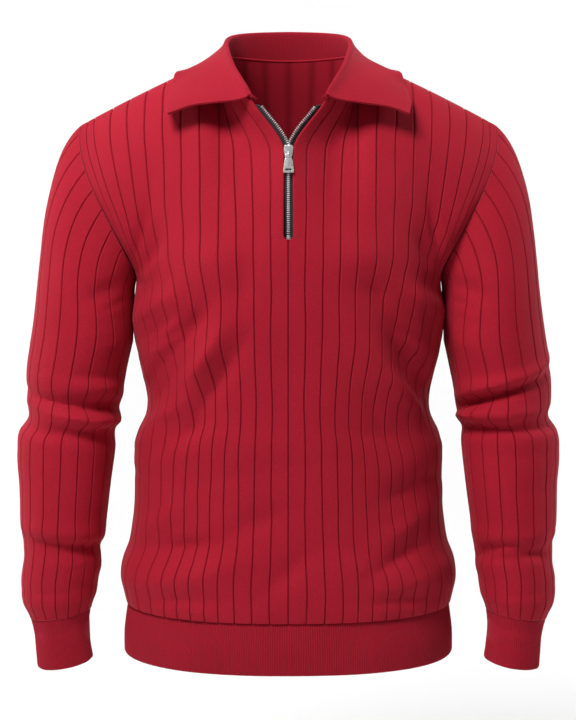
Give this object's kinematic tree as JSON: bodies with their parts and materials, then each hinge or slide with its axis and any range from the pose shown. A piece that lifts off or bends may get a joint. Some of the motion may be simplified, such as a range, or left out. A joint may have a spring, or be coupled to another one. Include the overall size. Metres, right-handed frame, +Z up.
{
  "type": "zip pullover",
  "caption": "Long-sleeved rib-knit pullover in dark red with a spread collar, an open quarter zip with metal teeth and a pull tab, and fine-rib cuffs and hem band.",
  "frame": {"origin": "Middle of the garment, front to back and left to right, at the height where the shoulders leave the neck: where a hanger or a wearer's shoulders carry it", "axes": "+Z up toward the collar, +X to the right in a view of the front (the pieces called right are on this side), the front with the zip faces -Y"},
  "size_m": [0.6007, 0.2486, 0.7054],
  "materials": {
    "rib_knit": "matte",
    "fine_rib": "matte",
    "zip_tape": "matte",
    "zip_metal": "satin"
  },
  "bodies": {
    "garment": {"front": "rib_knit", "back": "rib_knit", "sleeve_left": "rib_knit", "sleeve_right": "rib_knit", "cuff_left": "fine_rib", "cuff_right": "fine_rib", "hem_band": "fine_rib", "collar": "fine_rib", "zip_tape_left": "zip_tape", "zip_tape_right": "zip_tape", "zip_slider": "zip_metal"},
    "pull_tab": {"zip_pull": "zip_metal"}
  },
  "joints": [
    {"name": "pull_tab_hinge", "type": "hinge", "parent": "garment", "child": "pull_tab", "pos_m": [0, -0.10164, -0.0985], "axis": [-1, 0, 0], "range_deg": [0, 150]}
  ]
}
